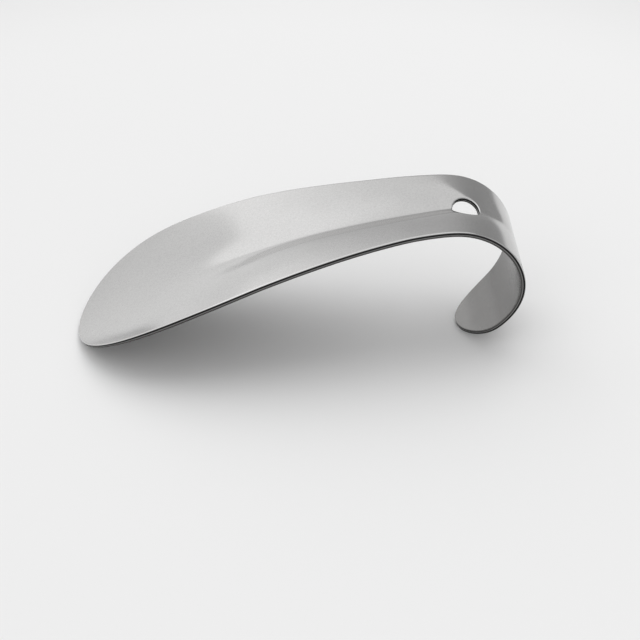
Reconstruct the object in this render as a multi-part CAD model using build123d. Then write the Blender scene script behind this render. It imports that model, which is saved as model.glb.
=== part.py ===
from build123d import *
import math
import os

# Pocket shoehorn with a finger hook: one strip of sheet steel, blanked, dished,
# grooved and bent. Lengths are in mm.
#
# "Place" is the distance along the strip's upper face, on its centre line, from
# the blade's tip. "Across" is the distance from that centre line. The strip lies
# along +X from its tip to its bend, and stands on its tip and its tongue.

# Overall
overall_length = 101.6
sheet_thickness = 1.2

# The curve of the centre line, from the tip to the end of the tongue
blade_radius = 198.0
blade_run = 74.6
neck_radius = 360.0
bend_radius = 15.1
bend_run = 32.4
tongue_radius = 20.5
tongue_run = 16.6
curve_blend = 8.0

# The outline of the flat blank
blade_width = 38.9
widest_place = 29.3
tip_fullness = 2.25
neck_width = 23.7
neck_past_bend = 4.0
tongue_width = 19.2
tongue_rounding = 10.4

# The dish of the blade, a wide hollow that is deepest near the tip
tip_dish_radius = 81.5
neck_dish_radius = 380.0
dish_change_start = 15.7
dish_change_end = 46.6

# The stiffening groove, with its crease on the centre line. It starts as a wide
# rounded valley and sharpens towards the bend.
groove_depth = 2.2
groove_start = 15.6
groove_full = 49.2
groove_fades_before_bend = 11.5
groove_ends_past_bend = 21.5
groove_spread = 5.5
hole_groove_spread = 3.4
groove_narrows_before_bend = 28.3
groove_narrow_past_bend = 7.7
crease_radius = 0.8
crease_start_radius = 9.0
crease_sharp_from = 62.0

# The hanging hole, punched through the crease
hole_diameter = 6.3
hole_past_bend = 4.4

# Construction: how far the uncut sheet runs past the outline, how far the cutting
# wall stands out of the sheet, how close together the shaping points lie, and how
# many lengths the cutting wall is made in
sheet_margin = 2.0
wall_reach = 1.2
place_spacing = 2.0
across_steps = 44
outline_steps = 48
wall_lengths = 8
curve_step = 0.1


def ease(start, end, place):
    """A smooth rise from 0 at start to 1 at end."""
    share = min(max((place - start) / (end - start), 0.0), 1.0)
    return share * share * (3 - 2 * share)


def turn_rate(place, bend_start):
    """How fast the centre line turns downwards, in radians per mm."""
    bend_end = bend_start + bend_run
    half_blend = curve_blend / 2
    rate = 1 / blade_radius
    rate += (1 / neck_radius - 1 / blade_radius) * ease(blade_run - curve_blend, blade_run + curve_blend, place)
    rate += (1 / bend_radius - 1 / neck_radius) * ease(bend_start - half_blend, bend_start + half_blend, place)
    rate += (1 / tongue_radius - 1 / bend_radius) * ease(bend_end - half_blend, bend_end + half_blend, place)
    return rate


def centre_curve(bend_start, tip_climb):
    """Rows of place, x, z and heading, from before the tip to past the tongue."""
    place = -2 * sheet_margin
    last = bend_start + bend_run + tongue_run + 2 * sheet_margin
    heading = tip_climb - turn_rate(0.0, bend_start) * place
    x = place * math.cos(heading)
    z = place * math.sin(heading)
    rows = [(place, x, z, heading)]
    while place < last:
        turn = turn_rate(place + curve_step / 2, bend_start) * curve_step
        x += math.cos(heading - turn / 2) * curve_step
        z += math.sin(heading - turn / 2) * curve_step
        heading -= turn
        place += curve_step
        rows.append((place, x, z, heading))
    return rows


def at(rows, place):
    """The x, z and heading of the centre line at a place."""
    steps = (place - rows[0][0]) / curve_step
    index = min(max(int(steps), 0), len(rows) - 2)
    share = steps - index
    low, high = rows[index], rows[index + 1]
    return [low[k] + (high[k] - low[k]) * share for k in (1, 2, 3)]


def fitted_curve():
    """The bend start and the centre line, for a part of its overall length that stands level.

    The tip stands on the lower face's edge. The tongue, which is bent under, stands on
    the upper face."""
    bend_start = overall_length - bend_radius
    tip_climb = 0.5
    for _ in range(12):
        rows = centre_curve(bend_start, tip_climb)
        tongue_end = bend_start + bend_run + tongue_run
        tip_x, tip_z, tip_heading = at(rows, 0.0)
        tip_low = tip_z - sheet_thickness * math.cos(tip_heading)
        tongue_low = min(row[2] for row in rows if bend_start < row[0] < tongue_end)
        tip_climb += (tip_low - tongue_low) / overall_length
        bend_start += overall_length - (max(row[1] for row in rows) - tip_x)
    return bend_start, centre_curve(bend_start, tip_climb)


bend_start, rows = fitted_curve()
bend_end = bend_start + bend_run
strip_length = bend_end + tongue_run
neck_place = bend_start + neck_past_bend
hole_place = bend_start + hole_past_bend
rounding_start = strip_length - tongue_rounding
groove_fades = bend_start - groove_fades_before_bend
groove_end = bend_start + groove_ends_past_bend
groove_narrows = bend_start - groove_narrows_before_bend
groove_narrow = bend_start + groove_narrow_past_bend


def half_width(place):
    """The blank's half width: a full round tip, a waist and a rounded tongue."""
    if place < widest_place:
        share = 1 - max(place, 0.0) / widest_place
        return blade_width / 2 * math.sqrt(1 - share**tip_fullness)
    if place < neck_place:
        share = (place - widest_place) / (neck_place - widest_place)
        wave = (1 + math.cos(math.pi * share)) / 2
        return (neck_width + (blade_width - neck_width) * wave) / 2
    narrowing = ((place - neck_place) / (rounding_start - neck_place)) ** 2
    half = (neck_width - (neck_width - tongue_width) * narrowing) / 2
    share = max(place - rounding_start, 0.0) / tongue_rounding
    return half * math.sqrt(max(1 - share * share, 0.0))


def hollow(place, across):
    """How high the upper face stands over its centre line: the dish and the groove."""
    fade = 1 - ease(groove_fades, groove_end, place)
    flatter = ease(dish_change_start, dish_change_end, place)
    dish = (1 - flatter) / tip_dish_radius + flatter / neck_dish_radius
    narrower = ease(groove_narrows, groove_narrow, place)
    spread = groove_spread + (hole_groove_spread - groove_spread) * narrower
    sharper = ease(groove_start, crease_sharp_from, place)
    radius = crease_start_radius + (crease_radius - crease_start_radius) * sharper
    from_crease = math.hypot(across, radius) - radius
    groove = groove_depth * ease(groove_start, groove_full, place)
    return fade * (dish * across**2 / 2 + groove * math.tanh(from_crease / spread))


def face_point(place, across):
    """A point of the upper face."""
    x, z, heading = at(rows, place)
    height = hollow(place, across)
    return Vector(x - math.sin(heading) * height, across, z + math.cos(heading) * height)


def sheet_point(place, across, height):
    """A point at a height over the upper face, square to the face."""
    step = 0.05
    along = face_point(place + step, across) - face_point(place - step, across)
    sideways = face_point(place, across + step) - face_point(place, across - step)
    return face_point(place, across) + along.cross(sideways).normalized() * height


def spaced(start, end, count):
    """Evenly spaced values from start to end, with count steps between them."""
    return [start + (end - start) * k / count for k in range(count + 1)]


def formed_face(height):
    """One face of the formed sheet before it is cut, at a height over the upper face."""
    edge = blade_width / 2 + sheet_margin
    place_steps = math.ceil((strip_length + 2 * sheet_margin) / place_spacing)
    places = spaced(-sheet_margin, strip_length + sheet_margin, place_steps)
    # closer together near the crease, where the face bends most
    acrosses = [math.copysign(edge * abs(share) ** 1.5, share) for share in spaced(-1.0, 1.0, across_steps)]
    grid = [[sheet_point(place, across, height) for place in places] for across in acrosses]
    return Face.make_surface_from_array_of_points(grid, tol=0.002)


def in_order(edges):
    """A face's four border edges, in the same order for the upper and the lower face."""
    return sorted(edges, key=lambda edge: (round(edge.center().Y), edge.center().X))


def formed_sheet():
    """The dished, grooved and bent sheet, before its outline is cut."""
    upper = formed_face(0.0)
    lower = formed_face(-sheet_thickness)
    borders = zip(in_order(upper.edges()), in_order(lower.edges()))
    walls = [Face.make_surface_from_curves(above, below) for above, below in borders]
    return Solid(Shell([upper, lower] + walls))


def outline_edge(height):
    """The blank's outline, as a closed curve at a height over the upper face."""
    points = []
    for angle in spaced(0.0, 2 * math.pi, 2 * outline_steps)[:-1]:
        place = strip_length * (1 - math.cos(angle)) / 2
        across = math.copysign(half_width(place), math.sin(angle))
        points.append(sheet_point(place, across, height))
    return Edge.make_spline(points, periodic=True)


def outline_wall():
    """A wall square to the sheet, all round the blank's outline, in a few lengths."""
    above = outline_edge(wall_reach)
    below = outline_edge(-sheet_thickness - wall_reach)
    ends = spaced(0.0, 1.0, wall_lengths)
    lengths = []
    for start, end in zip(ends, ends[1:]):
        lengths.append(Face.make_surface_from_curves(above.trim(start, end), below.trim(start, end)))
    return Shell(lengths)


def hanging_hole():
    """The cylinder that punches the hole, square to the crease."""
    heading = at(rows, hole_place)[2]
    square = Vector(-math.sin(heading), 0, math.cos(heading))
    depth = 4 * sheet_thickness + 2 * groove_depth
    start = face_point(hole_place, 0.0) - square * depth / 2
    return Solid.make_cylinder(hole_diameter / 2, depth, Plane(start, z_dir=square))


def shoehorn():
    """The finished strip, with its origin at the middle of the foot of its box."""
    pieces = formed_sheet().split(outline_wall(), keep=Keep.ALL)
    blank = min(pieces, key=lambda piece: piece.bounding_box().size.Y)
    strip = blank - hanging_hole()
    box = strip.bounding_box()
    return Pos(-box.center().X, 0, -box.min.Z) * strip


os.makedirs("parts", exist_ok=True)
export_step(shoehorn(), "parts/shoehorn_strip.step")
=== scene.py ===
# %% [markdown]
# # A pocket shoehorn with a finger hook
#
# The object is one strip of satin steel, taken as 1.2 mm thick. Strips like this are
# usually cut flat and punched by a press, which then dishes the blade, folds a crease
# along the neck and bends the end under to make a hook for one finger. This lesson
# keeps to that order: a flat blank first, then the pressing, then the finish.
#
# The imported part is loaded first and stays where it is. It says how large the object
# is, and every size below keeps inside it.

import math

import bmesh
import bpy
from mathutils import Matrix, Vector


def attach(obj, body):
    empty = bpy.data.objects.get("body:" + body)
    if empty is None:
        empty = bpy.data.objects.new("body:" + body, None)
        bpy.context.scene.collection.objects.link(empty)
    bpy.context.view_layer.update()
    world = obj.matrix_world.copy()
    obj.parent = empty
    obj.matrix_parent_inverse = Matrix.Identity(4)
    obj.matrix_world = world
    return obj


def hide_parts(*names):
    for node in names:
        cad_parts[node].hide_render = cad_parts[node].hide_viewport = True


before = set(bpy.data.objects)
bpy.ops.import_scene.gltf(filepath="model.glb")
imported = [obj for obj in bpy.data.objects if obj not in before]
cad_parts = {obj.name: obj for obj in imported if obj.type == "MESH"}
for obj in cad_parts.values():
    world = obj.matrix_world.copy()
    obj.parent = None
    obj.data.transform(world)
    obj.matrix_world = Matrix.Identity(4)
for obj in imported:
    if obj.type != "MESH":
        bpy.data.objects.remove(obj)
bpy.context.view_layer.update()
MM = 0.001

# %% [markdown]
# ## The sizes of the strip
#
# A press shop describes a strip like this in its own terms. "Place" is the distance
# along the middle of the upper face from the blade's tip, and "across" is the distance
# from that middle line. All the sizes are in millimetres, and they are the same ones
# that the solid part was made with. What the solid part doesn't have is the rounding
# of its rim and a slimmer tip: those are for looks, and come later.

# %% Sizes, in mm
overall_length = 101.6
sheet_thickness = 1.2
strip_length = 139.4

# the curve of the middle line
blade_radius, neck_radius, bend_radius, tongue_radius = 198.0, 360.0, 15.1, 20.5
blade_run, bend_start, bend_run = 74.6, 90.4, 32.4
curve_blend = 8.0

# the outline of the flat blank
blade_width, neck_width, tongue_width = 38.9, 23.7, 19.2
widest_place = 29.3
neck_place = bend_start + 4.0
tip_fullness = 2.25
tongue_rounding = 10.4
hole_place = bend_start + 4.4
hole_radius = 3.15


def ease(start, end, place):
    """A smooth rise from 0 at start to 1 at end."""
    share = min(max((place - start) / (end - start), 0.0), 1.0)
    return share * share * (3 - 2 * share)


def half_width(place):
    """Half the width of the flat blank: a round tip, a waist and a rounded tongue."""
    rounding_start = strip_length - tongue_rounding
    if place < widest_place:
        share = 1 - max(place, 0.0) / widest_place
        return blade_width / 2 * math.sqrt(1 - share**tip_fullness)
    if place < neck_place:
        wave = (1 + math.cos(math.pi * (place - widest_place) / (neck_place - widest_place))) / 2
        return (neck_width + (blade_width - neck_width) * wave) / 2
    narrowing = ((place - neck_place) / (rounding_start - neck_place)) ** 2
    share = min(max(place - rounding_start, 0.0) / tongue_rounding, 1.0)
    return (neck_width - (neck_width - tongue_width) * narrowing) / 2 * math.sqrt(1 - share * share)


print("half widths:", [round(half_width(place), 1) for place in range(0, 140, 20)])

# %% [markdown]
# ## The outline of the blank
#
# The outline could be followed by place alone, but its two ends are round, and there
# the width changes endlessly fast. So it is followed by an angle instead, from half a
# turn at the tip to nothing at the tongue, as on a circle. The outward direction is
# measured from two close points on either side.

# %% Outline by angle
def outline(angle):
    """A point of the outline. Angle 0 is the tongue's end and half a turn is the tip."""
    place = strip_length * (1 + math.cos(angle)) / 2
    return Vector((place, math.copysign(half_width(place), math.sin(angle)), 0.0))


def outward(angle):
    """The direction that points straight out of the outline."""
    step = outline(angle + 0.004) - outline(angle - 0.004)
    return Vector((step.y, -step.x, 0.0)).normalized()


print("outward at the tip:", [round(value, 2) for value in outward(math.pi)])

# %% [markdown]
# ## A sheet made only of four-sided faces
#
# Polished metal shows every fault of its mesh, because a reflection bends wherever the
# faces do. A fan of triangles at the tip would pinch the reflection. Here a square grid
# is stretched into a disc, and the disc into the blank, so the faces flow round both
# ends with no pole. The columns crowd towards the middle, where the crease will be.

# %% Grid of the flat sheet
along_count, across_count = 300, 92
column_crowding = 1.45
border_share = 14
rollover = 0.26
underside_round = 0.16


def on_disc(i, j):
    """Where a grid point lies on a round disc of radius 1."""
    u = 2 * i / along_count - 1
    v = 2 * j / across_count - 1
    v = math.copysign(abs(v) ** column_crowding, v)
    return u * math.sqrt(1 - v * v / 2), v * math.sqrt(1 - u * u / 2)


def grid_point(i, j, rounding):
    """A grid point of the flat sheet. The border stands back to leave room for a rounded rim."""
    x, y = on_disc(i, j)
    reach = math.hypot(x, y)
    angle = math.atan2(y, x)
    if reach > 0.9999:
        return outline(angle) - outward(angle) * rounding
    place = strip_length * (1 + x) / 2
    across = y * half_width(place) / math.sqrt(1 - x * x)
    return Vector((place, across, 0.0)) - outward(angle) * rounding * reach**border_share


print("middle of one side:", [round(value, 2) for value in grid_point(150, 0, rollover)])

# %% [markdown]
# ## The rim that the press leaves
#
# A punched edge is not a plain wall. The sheet's upper corner is rolled over, below it
# comes a smooth burnished band where the punch slid past, then a rougher broken band,
# and last a small lower corner. The profile is a list of steps, each one a distance
# outwards and a height, and both borders of the sheet get it, the outer one and the
# hole. The widths of the bands are what such an edge usually has.

# %% Rim profile
broken_step = 0.02


def rim_profile():
    """Steps from the upper face's border to the lower one's: (outwards, height)."""
    steps = []
    for k in range(1, 5):
        turn = math.radians(22.5 * k)
        steps.append((rollover * (math.sin(turn) - 1), rollover * (math.cos(turn) - 1)))
    for share in (0.25, 0.5, 0.56, 0.78):
        tall = sheet_thickness - rollover - underside_round
        steps.append((-broken_step if share > 0.5 else 0.0, -rollover - tall * share))
    for k in range(0, 4):
        turn = math.radians(30 * k)
        outset = underside_round * (math.cos(turn) - 1) - broken_step
        steps.append((outset, -sheet_thickness + underside_round * (1 - math.sin(turn))))
    return steps


profile = rim_profile()
print("rim steps:", len(profile))

# %% [markdown]
# ## Building the blank
#
# The upper and the lower face are the same grid, and the hole takes the place of a
# block of its faces. Rings of faces lead from that block's square border to the round
# hole, so the crease can run straight into the hole. Then the rims close the solid.

# %% Helpers for the blank
def border(i_low, i_high, j_low, j_high):
    """The grid places round a block, once round, anticlockwise from above."""
    walk = [(i, j_low) for i in range(i_low, i_high)]
    walk += [(i_high, j) for j in range(j_low, j_high)]
    walk += [(i, j_high) for i in range(i_high, i_low, -1)]
    walk += [(i_low, j) for j in range(j_high, j_low, -1)]
    return walk


def bridge(mesh, ring, next_ring):
    """Faces between two closed rings of as many points."""
    for k in range(len(ring)):
        near, far = ring[k - 1], ring[k]
        mesh.faces.new((near, far, next_ring[k], next_ring[k - 1]))


hole_column = round(along_count * hole_place / strip_length)
half_block, side_rows = 14, 12
block = (hole_column - half_block, hole_column + half_block, side_rows, across_count - side_rows)
print("block of faces round the hole:", block)

# %% One face of the blank, with the rings round its hole
hole_rings = 10


def lay_face(mesh, height, rounding):
    """One face of the blank. Returns its outer border and its hole's border."""
    points = {}
    for i in range(along_count + 1):
        for j in range(across_count + 1):
            if not (block[0] < i < block[1] and block[2] < j < block[3]):
                points[i, j] = mesh.verts.new(grid_point(i, j, rounding) + Vector((0, 0, height)))
    for i in range(along_count):
        for j in range(across_count):
            if not (block[0] <= i < block[1] and block[2] <= j < block[3]):
                mesh.faces.new((points[i, j], points[i + 1, j], points[i + 1, j + 1], points[i, j + 1]))
    centre = Vector((hole_place, 0.0, height))
    ring = [points[place] for place in border(*block)]
    start = [point.co.copy() for point in ring]
    ends = [centre + (point - centre).normalized() * (hole_radius + rounding) for point in start]
    for k in range(1, hole_rings + 1):
        share = (k / hole_rings) ** 0.8
        inner = [mesh.verts.new(a.lerp(b, share)) for a, b in zip(start, ends)]
        bridge(mesh, ring, inner)
        ring = inner
    return [points[place] for place in border(0, along_count, 0, across_count)], ring


def lay_rim(mesh, upper, lower, directions):
    """The rim between the borders of the two faces, along one outward direction per point."""
    ring = upper
    bases = [point.co + direction * rollover for point, direction in zip(upper, directions)]
    for outset, height in profile[:-1]:
        places = [base + direction * outset for base, direction in zip(bases, directions)]
        next_ring = [mesh.verts.new((place.x, place.y, height)) for place in places]
        bridge(mesh, ring, next_ring)
        ring = next_ring
    bridge(mesh, ring, lower)


# %% The closed blank
blank_mesh = bmesh.new()
upper_border, upper_hole = lay_face(blank_mesh, 0.0, rollover)
lower_border, lower_hole = lay_face(blank_mesh, -sheet_thickness, underside_round + broken_step)
outer_ways = []
for i, j in border(0, along_count, 0, across_count):
    x, y = on_disc(i, j)
    outer_ways.append(outward(math.atan2(y, x)))
hole_ways = [(Vector((hole_place, 0, 0)) - point.co).normalized() for point in upper_hole]
lay_rim(blank_mesh, upper_border, lower_border, outer_ways)
lay_rim(blank_mesh, upper_hole, lower_hole, hole_ways)
bmesh.ops.recalc_face_normals(blank_mesh, faces=blank_mesh.faces)
bmesh.ops.scale(blank_mesh, vec=(MM, MM, MM), verts=blank_mesh.verts)
open_edges = sum(1 for edge in blank_mesh.edges if len(edge.link_faces) != 2)
blank_data = bpy.data.meshes.new("blank")
blank_mesh.to_mesh(blank_data)
blank_mesh.free()
blank = bpy.data.objects.new("blank", blank_data)
bpy.context.collection.objects.link(blank)
print("blank:", len(blank_data.polygons), "faces,", open_edges, "open edges")

# %% [markdown]
# ## The line that the strip follows
#
# Seen from the side the strip is a nearly straight blade and neck, a round bend and a
# tongue curled under. Each stretch has its own radius, and the radii melt into each
# other over a few millimetres, as in bent sheet that springs back a little. The line is
# walked in tenths of a millimetre, turning as it goes, and it is kept as a curve. A
# curve can be read at any length, which is what the pressing needs.

# %% Middle line
def turn_rate(place):
    """How fast the line turns downwards, in radians per mm."""
    half_blend = curve_blend / 2
    bend_end = bend_start + bend_run
    into_neck = ease(blade_run - curve_blend, blade_run + curve_blend, place)
    into_bend = ease(bend_start - half_blend, bend_start + half_blend, place)
    into_tongue = ease(bend_end - half_blend, bend_end + half_blend, place)
    rate = 1 / blade_radius
    rate += (1 / neck_radius - 1 / blade_radius) * into_neck
    rate += (1 / bend_radius - 1 / neck_radius) * into_bend
    rate += (1 / tongue_radius - 1 / bend_radius) * into_tongue
    return rate


lead_in = 2.0
tip_climb = math.radians(33.203)
step = 0.1
heading = tip_climb + turn_rate(0.0) * lead_in
middle_heading = tip_climb + turn_rate(0.0) * lead_in / 2
x = -overall_length / 2 - math.cos(middle_heading) * lead_in
z = sheet_thickness * math.cos(tip_climb) - math.sin(middle_heading) * lead_in
line_points = []
for k in range(round((strip_length + 2 * lead_in) / step)):
    line_points.append((x * MM, 0.0, z * MM, 1.0))
    turn = turn_rate((k + 0.5) * step - lead_in) * step
    x += math.cos(heading - turn / 2) * step
    z += math.sin(heading - turn / 2) * step
    heading -= turn

line_data = bpy.data.curves.new("middle_line", "CURVE")
line_data.dimensions = "3D"
spline = line_data.splines.new("POLY")
spline.points.add(len(line_points) - 1)
for point, place in zip(spline.points, line_points):
    point.co = place
middle_line = bpy.data.objects.new("middle_line", line_data)
bpy.context.collection.objects.link(middle_line)
highest = max(point[2] for point in line_points) / MM
print("middle line:", len(line_points), "points, highest", round(highest, 2), "mm")

# %% [markdown]
# ## Writing node maths as plain expressions
#
# The pressing and the finish are both made of nodes. Wired by hand they would be hard
# to read, so one small class wraps a socket: adding or multiplying two wrapped sockets
# adds the Math node that does it. One more class adds any other node: its settings
# first, then the values or links of its sockets.

# %% Wrapped sockets
class Value:
    """A number that flows through a node tree."""

    def __init__(self, nodes, socket):
        self.nodes, self.socket = nodes, socket

    def math(self, operation, *others):
        values = {k: other for k, other in enumerate((self,) + others)}
        return self.nodes.add("ShaderNodeMath", {"operation": operation}, values)

    def __add__(self, other):
        return self.math("ADD", other)

    def __mul__(self, other):
        return self.math("MULTIPLY", other)

    def __sub__(self, other):
        return self.math("SUBTRACT", other)

    def __truediv__(self, other):
        return self.math("DIVIDE", other)

    def __rsub__(self, other):
        return self.nodes.add("ShaderNodeMath", {"operation": "SUBTRACT"}, {0: other, 1: self})

    def __rtruediv__(self, other):
        return self.nodes.add("ShaderNodeMath", {"operation": "DIVIDE"}, {0: other, 1: self})

    __radd__ = __add__
    __rmul__ = __mul__


class Nodes:
    """A node tree that nodes are added to."""

    def __init__(self, tree):
        self.tree = tree

    def add(self, kind, settings=None, sockets=None, output=0):
        """Adds a node: its settings first, then the values or links of its sockets."""
        node = self.tree.nodes.new(kind)
        for name, value in (settings or {}).items():
            setattr(node, name, value)
        for key, value in (sockets or {}).items():
            shown = [socket for socket in node.inputs if socket.enabled]
            socket = shown[key] if isinstance(key, int) else next(s for s in shown if s.name == key)
            if isinstance(value, Value):
                self.tree.links.new(value.socket, socket)
            else:
                socket.default_value = value
        shown = [socket for socket in node.outputs if socket.enabled]
        if not shown:
            return node
        return Value(self, shown[output] if isinstance(output, int) else node.outputs[output])

    def vector(self, operation, *values):
        """A Vector Math node."""
        return self.add("ShaderNodeVectorMath", {"operation": operation}, dict(enumerate(values)))

    def ease(self, start, end, value, low=0.0, high=1.0):
        """A smooth change from low at start to high at end."""
        sockets = {"Value": value, "From Min": start, "From Max": end, "To Min": low, "To Max": high}
        return self.add("ShaderNodeMapRange", {"interpolation_type": "SMOOTHSTEP"}, sockets)


print("helpers ready")

# %% [markdown]
# ## The press
#
# The press is a Geometry Nodes tree. It takes the flat blank and moves every point to
# where the tools would push it. How high the face is lifted over its middle line is
# one rule: a dish, a wide hollow that is deepest near the tip, and a stiffening groove
# whose two walls meet in a crease. The groove fades out round the bend.
#
# The same rule serves for the sheet's lower face. The tree looks at four close
# neighbours of each point on the upper face, finds the direction straight out of the
# face there, and moves the point along it by its own height in the sheet. The sheet
# keeps its thickness that way, even where it is folded. Only towards the tip is it
# made thinner from below, because the rim looks slimmer there. How the real strip is
# thinned, and how far back, is a guess, and the solid part keeps one thickness.

# %% The press tree and its named sizes
press_sizes = {
    "Lead in": lead_in * MM,
    "Groove depth": 2.2 * MM,
    "Groove start": 15.6 * MM,
    "Groove full": 49.2 * MM,
    "Groove fades": (bend_start - 11.5) * MM,
    "Groove end": (bend_start + 21.5) * MM,
    "Groove narrows": (bend_start - 28.3) * MM,
    "Groove narrow": (bend_start + 7.7) * MM,
    "Groove spread": 5.5 * MM,
    "Groove spread at hole": 3.4 * MM,
    "Crease radius": 0.8 * MM,
    "Crease radius at start": 9.0 * MM,
    "Crease sharp from": 62.0 * MM,
    "Dish change start": 15.7 * MM,
    "Dish change end": 46.6 * MM,
    "Thinned from": 30.0 * MM,
    "Thickness share at tip": 0.6,
    "Dish per metre at tip": 1 / (81.5 * MM),
    "Dish per metre at neck": 1 / (380.0 * MM),
}
press_tree = bpy.data.node_groups.new("press", "GeometryNodeTree")
ports = press_tree.interface
ports.new_socket("Geometry", in_out="INPUT", socket_type="NodeSocketGeometry")
ports.new_socket("Geometry", in_out="OUTPUT", socket_type="NodeSocketGeometry")
ports.new_socket("Middle line", in_out="INPUT", socket_type="NodeSocketObject")
ports.new_socket("Finish", in_out="INPUT", socket_type="NodeSocketMaterial")
for name in press_sizes:
    ports.new_socket(name, in_out="INPUT", socket_type="NodeSocketFloat")
press = Nodes(press_tree)
entry = press_tree.nodes.new("NodeGroupInput")
given = {socket.name: Value(press, socket) for socket in entry.outputs if socket.name}
print("press inputs:", len(given))

# %% How far the face is lifted
def lifted(place, across):
    """The height of the upper face over its middle line: the dish and the groove."""
    fade = press.ease(given["Groove fades"], given["Groove end"], place, 1.0, 0.0)
    dish = press.ease(given["Dish change start"], given["Dish change end"], place,
                      given["Dish per metre at tip"], given["Dish per metre at neck"])
    spread = press.ease(given["Groove narrows"], given["Groove narrow"], place,
                        given["Groove spread"], given["Groove spread at hole"])
    depth = press.ease(given["Groove start"], given["Groove full"], place) * given["Groove depth"]
    crease = press.ease(given["Groove start"], given["Crease sharp from"], place,
                        given["Crease radius at start"], given["Crease radius"])
    from_crease = (across * across + crease * crease).math("SQRT") - crease
    groove = depth * (from_crease / spread).math("TANH")
    return fade * (dish * across * across * 0.5 + groove)


line = press.add("GeometryNodeObjectInfo", {}, {"Object": given["Middle line"]}, "Geometry")


def pressed(place, across):
    """Where a point of the upper face goes."""
    sample = press.add("GeometryNodeSampleCurve", {"mode": "LENGTH", "use_all_curves": True},
                       {"Curves": line, "Length": place + given["Lead in"]}, "Position").socket.node
    tangent = press.add("ShaderNodeSeparateXYZ", {}, {0: Value(press, sample.outputs["Tangent"])})
    parts = tangent.socket.node.outputs
    upwards = press.add("ShaderNodeCombineXYZ", {},
                        {"X": 0.0 - Value(press, parts["Z"]), "Z": Value(press, parts["X"])})
    lift = press.add("ShaderNodeVectorMath", {"operation": "SCALE"},
                     {"Vector": upwards, "Scale": lifted(place, across)})
    sideways = press.add("ShaderNodeCombineXYZ", {}, {"Y": across})
    base = press.vector("ADD", Value(press, sample.outputs["Position"]), sideways)
    return press.vector("ADD", base, lift)


# %% Move every point, remember where it was, and finish the tree
flat = press.add("GeometryNodeInputPosition")
parts = press.add("ShaderNodeSeparateXYZ", {}, {0: flat}).socket.node.outputs
place, across, height = (Value(press, parts[name]) for name in "XYZ")
near = 0.1 * MM
along = press.vector("SUBTRACT", pressed(place + near, across), pressed(place - near, across))
sideways = press.vector("SUBTRACT", pressed(place, across + near), pressed(place, across - near))
square = press.vector("NORMALIZE", press.vector("CROSS_PRODUCT", along, sideways))
thinned = press.ease(0.0, given["Thinned from"], place, given["Thickness share at tip"], 1.0)
offset = press.add("ShaderNodeVectorMath", {"operation": "SCALE"},
                   {"Vector": square, "Scale": height * thinned})
target = press.vector("ADD", pressed(place, across), offset)
stored = press.add("GeometryNodeStoreNamedAttribute", {"data_type": "FLOAT_VECTOR", "domain": "POINT"},
                   {"Geometry": given["Geometry"], "Name": "sheet", "Value": flat})
moved = press.add("GeometryNodeSetPosition", {}, {"Geometry": stored, "Position": target})
smooth = press.add("GeometryNodeSetShadeSmooth", {}, {"Geometry": moved})
real = press.add("GeometryNodeRealizeInstances", {}, {"Geometry": smooth})
painted = press.add("GeometryNodeSetMaterial", {}, {"Geometry": real, "Material": given["Finish"]})
press.add("NodeGroupOutput", {}, {"Geometry": painted})
print("press tree:", len(press_tree.nodes), "nodes")

# %% [markdown]
# ## The finish: satin steel
#
# Satin steel is usually tumbled and then lightly polished, which leaves a soft mirror
# under a very fine grain. A perfectly even roughness looks like plastic foil, so the roughness
# drifts over the blade as handling and polishing leave it, the colour has the faintest
# clouds, and a grain finer than the eye resolves breaks the highlights up. The cut
# edges are a second finish, as on an edge that nobody polishes: the band that the punch
# burnished is smooth and the broken band under it is dull. Their colour is painted near
# black, painted shade, with a lighter line along the break between the bands, and the
# upper corner is painted bright, a painted highlight. The under face is duller than the
# upper one, and its colour is painted darker: painted shade, which makes the inside of the
# hook as dark as it looks, and a darker room would do it too.

# %% Satin steel
def rgb(value, tint=0.0):
    """A grey, a little warm when tint is over 0."""
    return (value * (1 + tint), value, value * (1 - tint), 1.0)


steel = bpy.data.materials.new("satin_steel")
steel.use_nodes = True
steel.node_tree.nodes.clear()
shade = Nodes(steel.node_tree)
where = shade.add("ShaderNodeTexCoord", {}, {}, "Object")
sheet = shade.add("ShaderNodeAttribute", {"attribute_name": "sheet"}, {}, "Vector")
sheet_parts = shade.add("ShaderNodeSeparateXYZ", {}, {0: sheet}).socket.node.outputs
depth = Value(shade, sheet_parts["Z"]) * (-1 / MM)


def noise(scale, detail=2.0, roughness=0.5):
    """Noise with features of about 1 / scale metres."""
    sockets = {"Vector": where, "Scale": scale, "Detail": detail, "Roughness": roughness}
    return shade.add("ShaderNodeTexNoise", {}, sockets, 0)


grain = noise(5200.0, 2.0)
fine_grain = noise(2300.0, 1.0)
clouds = noise(62.0, 4.0, 0.6)
smudges = shade.ease(0.48, 0.70, noise(120.0, 3.0, 0.55))
print("noises ready")

# %% Where the rim's bands lie
past_corner = shade.ease(0.03, 0.20, depth)
before_foot = shade.ease(sheet_thickness - 0.10, sheet_thickness - 0.02, depth, 1.0, 0.0)
rim = past_corner * before_foot
broken = shade.ease(0.60, 0.66, depth + (fine_grain - 0.5) * 0.10)
# painted highlight: the rim's upper corner is painted bright
painted_corner_highlight = shade.ease(0.0, 0.03, depth) * shade.ease(0.10, 0.22, depth, 1.0, 0.0)
break_line = shade.ease(0.58, 0.64, depth) * shade.ease(0.74, 0.82, depth, 1.0, 0.0)


def mixed(factor, first, second):
    """A colour between two colours."""
    sockets = {"Factor": factor, "A": first, "B": second}
    return shade.add("ShaderNodeMix", {"data_type": "RGBA"}, sockets)


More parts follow.
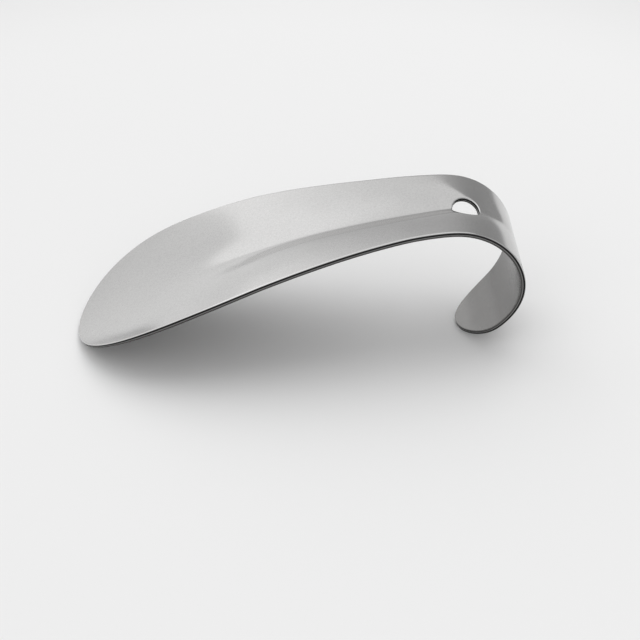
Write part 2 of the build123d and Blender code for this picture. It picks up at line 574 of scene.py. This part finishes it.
face_colour = mixed(clouds, rgb(0.495, 0.004), rgb(0.545, 0.009))
face_colour = mixed(smudges * 0.15, face_colour, rgb(0.45, 0.012))
# painted shade: the under face's colour is painted darker so the inside of the hook looks dark; its added
# roughness is the duller finish
under = shade.ease(sheet_thickness - 0.10, sheet_thickness - 0.02, depth)
face_colour = mixed(under, face_colour, mixed(clouds, rgb(0.16, 0.012), rgb(0.25, 0.018)))
face_colour = mixed((grain - 0.36) * 0.35 + (fine_grain - 0.38) * 0.40, face_colour, rgb(0.30, 0.01))
# painted shade: the rim bands are painted near black, with a lighter line along the break; their roughness
# is the cut edge's own finish
rim_shade_colour = mixed(broken, rgb(0.018), rgb(0.085, 0.02))
rim_shade_colour = mixed(break_line * 0.7, rim_shade_colour, rgb(0.30, 0.01))
colour = mixed(rim, face_colour, rim_shade_colour)
# the painted highlight on the rim's upper corner
colour = mixed(painted_corner_highlight * 0.8, colour, rgb(0.72))

face_rough = 0.125 + under * 0.12 + clouds * 0.03 + smudges * 0.02 + (grain - 0.5) * 0.06
band_rough = 0.26 + broken * 0.24
roughness = face_rough + rim * (band_rough - face_rough)

relief = grain * 0.5 + fine_grain * 0.5
bump = shade.add("ShaderNodeBump", {}, {"Strength": 0.10, "Distance": 0.00002, "Height": relief})
surface = shade.add("ShaderNodeBsdfPrincipled", {}, {
    "Base Color": colour, "Metallic": 1.0, "Roughness": roughness, "Normal": bump})
shade.add("ShaderNodeOutputMaterial", {}, {"Surface": surface})
print("satin_steel:", len(steel.node_tree.nodes), "nodes")

# %% [markdown]
# ## Pressing the blank
#
# The tree is hung on the blank as a modifier, and its sizes are set by the inputs' own
# identifiers. What comes out is kept as a plain mesh, which stands in for the strip of
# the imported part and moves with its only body.

# %% Press the strip
pressing = blank.modifiers.new("press", "NODES")
pressing.node_group = press_tree
identifiers = {item.name: item.identifier for item in ports.items_tree if item.in_out == "INPUT"}
pressing[identifiers["Middle line"]] = middle_line
pressing[identifiers["Finish"]] = steel
for name, size in press_sizes.items():
    pressing[identifiers[name]] = size
seen = bpy.context.evaluated_depsgraph_get()
strip_data = bpy.data.meshes.new_from_object(
    blank.evaluated_get(seen), preserve_all_data_layers=True, depsgraph=seen)
strip_data.name = "shoehorn_strip_body"
strip = bpy.data.objects.new("shoehorn_strip_body", strip_data)
bpy.context.collection.objects.link(strip)
for spare in (blank, middle_line):
    spare.modifiers.clear()
    bpy.data.objects.remove(spare)
corners = sum(len(face.vertices) - 2 for face in strip_data.polygons)
print("strip:", corners, "triangles, materials", [m.name for m in strip_data.materials])
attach(strip, "root")
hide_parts("shoehorn_strip")

# %% [markdown]
# ## The studio
#
# Bare metal shows its surroundings more than its own colour, so the studio is most of
# the look. There is a pale floor, painted darker away from the object as a painted falloff
# of light, grey walls and one large soft box overhead, a little behind on the left. The
# soft box is what lies along the far wall of the groove as one bright patch.

# %% Floor
floor_data = bpy.data.meshes.new("floor")
floor_data.from_pydata([(-1.5, -1.5, 0), (1.5, -1.5, 0), (1.5, 1.5, 0), (-1.5, 1.5, 0)], [], [(0, 1, 2, 3)])
floor = bpy.data.objects.new("floor", floor_data)
bpy.context.collection.objects.link(floor)
floor_paint = bpy.data.materials.new("floor_paint")
floor_paint.use_nodes = True
floor_paint.node_tree.nodes.clear()
ground = Nodes(floor_paint.node_tree)
spot = ground.add("ShaderNodeTexCoord", {}, {}, "Object")
from_middle = ground.add("ShaderNodeVectorMath", {"operation": "LENGTH"}, {0: spot}, "Value")
# painted light: the floor is painted pale round the object and darker further out, a painted falloff of
# light
floor_light_falloff = ground.ease(0.15, 0.40, from_middle, 0.82, 0.42)
floor_colour = ground.add("ShaderNodeCombineColor", {}, {0: floor_light_falloff, 1: floor_light_falloff, 2: floor_light_falloff})
floor_shader = ground.add("ShaderNodeBsdfDiffuse", {}, {"Color": floor_colour})
ground.add("ShaderNodeOutputMaterial", {}, {"Surface": floor_shader})
floor_data.materials.append(floor_paint)
print("floor laid")

# %% [markdown]
# The light comes from the room round the object. A room is described by direction: how
# bright it is when looked at from the object towards each side. The soft box is the
# part of it inside four straight edges. Each edge is a plane through the object, so
# being on its inner side is one dot product. Outside the box are the walls, which are
# brightest on the left and fall off to the right, with a little light coming back from
# the far right. The room was tuned until this metal looked right, so it stands for a
# studio and doesn't measure one.

# %% Room with one soft box
room = bpy.data.worlds.new("room")
room.use_nodes = True
room.node_tree.nodes.clear()
sky = Nodes(room.node_tree)
way = sky.add("ShaderNodeTexCoord", {}, {}, "Generated")
way_parts = sky.add("ShaderNodeSeparateXYZ", {}, {0: way}).socket.node.outputs
box_edges = {
    "left": (0.805, 0.152, 0.573),
    "far": (-0.444, -0.499, 0.745),
    "near": (-0.133, 0.978, 0.164),
    "right": (-0.872, 0.210, 0.442),
}
edge_softness = 0.018
inside = 1.0
for inwards in box_edges.values():
    past_edge = sky.add("ShaderNodeVectorMath", {"operation": "DOT_PRODUCT"}, {0: way, 1: inwards}, "Value")
    inside = sky.ease(-edge_softness, edge_softness, past_edge) * inside
side = Value(sky, way_parts["X"])
left_end, left, middle, right, right_end = 0.85, 1.10, 0.665, 0.42, 0.60
walls = sky.ease(-1.0, -0.40, side, left_end, left)
walls = walls + sky.ease(-0.32, -0.02, side, 0.0, middle - left)
walls = walls + sky.ease(-0.06, 0.55, side, 0.0, right - middle)
walls = walls + sky.ease(0.55, 1.0, side, 0.0, right_end - right)
box_left, box_right = 1.41, 1.07
box = sky.ease(-0.40, -0.10, side, box_left, box_right)
brightness = walls + inside * (box - walls)
background = sky.add("ShaderNodeBackground", {}, {"Color": (1, 1, 1, 1), "Strength": brightness})
sky.add("ShaderNodeOutputWorld", {}, {"Surface": background})
bpy.context.scene.world = room
bpy.context.scene.view_settings.view_transform = "Standard"


def fill_light(name, place, size, brightness):
    """A soft lamp that lights the floor without showing in the metal."""
    data = bpy.data.lights.new(name, "AREA")
    data.size = size
    data.energy = brightness * math.pi * size * size
    lamp = bpy.data.objects.new(name, data)
    lamp.location = place
    lamp.rotation_euler = (-Vector(place)).to_track_quat("-Z", "Y").to_euler()
    lamp.visible_glossy = False
    bpy.context.collection.objects.link(lamp)


fill_light("floor_fill", (0.3, 0.3, 1.2), 1.0, 1.3)
print("room: soft box edges", list(box_edges))

# %% [markdown]
# ## The camera
#
# The object is looked at from its side and from above, by a long lens from about a
# third of a metre, so that its near and far edges differ little in size. The camera is
# turned three times: round the upright, then down, then a little about its own view.

# %% Camera
camera_data = bpy.data.cameras.new("camera")
camera_data.lens = 82.31
camera_data.sensor_width = 36
camera = bpy.data.objects.new("camera", camera_data)
camera.location = (-0.01066, -0.27137, 0.21092)
turn = Matrix.Rotation(math.radians(-3.407), 3, "Z")
tilt = Matrix.Rotation(math.radians(90 - 37.609), 3, "X")
roll = Matrix.Rotation(math.radians(1.032), 3, "Z")
camera.rotation_euler = (turn @ tilt @ roll).to_euler()
camera_data.clip_start = 0.01
bpy.context.collection.objects.link(camera)
bpy.context.scene.camera = camera
print("camera at", [round(value, 3) for value in camera.location])
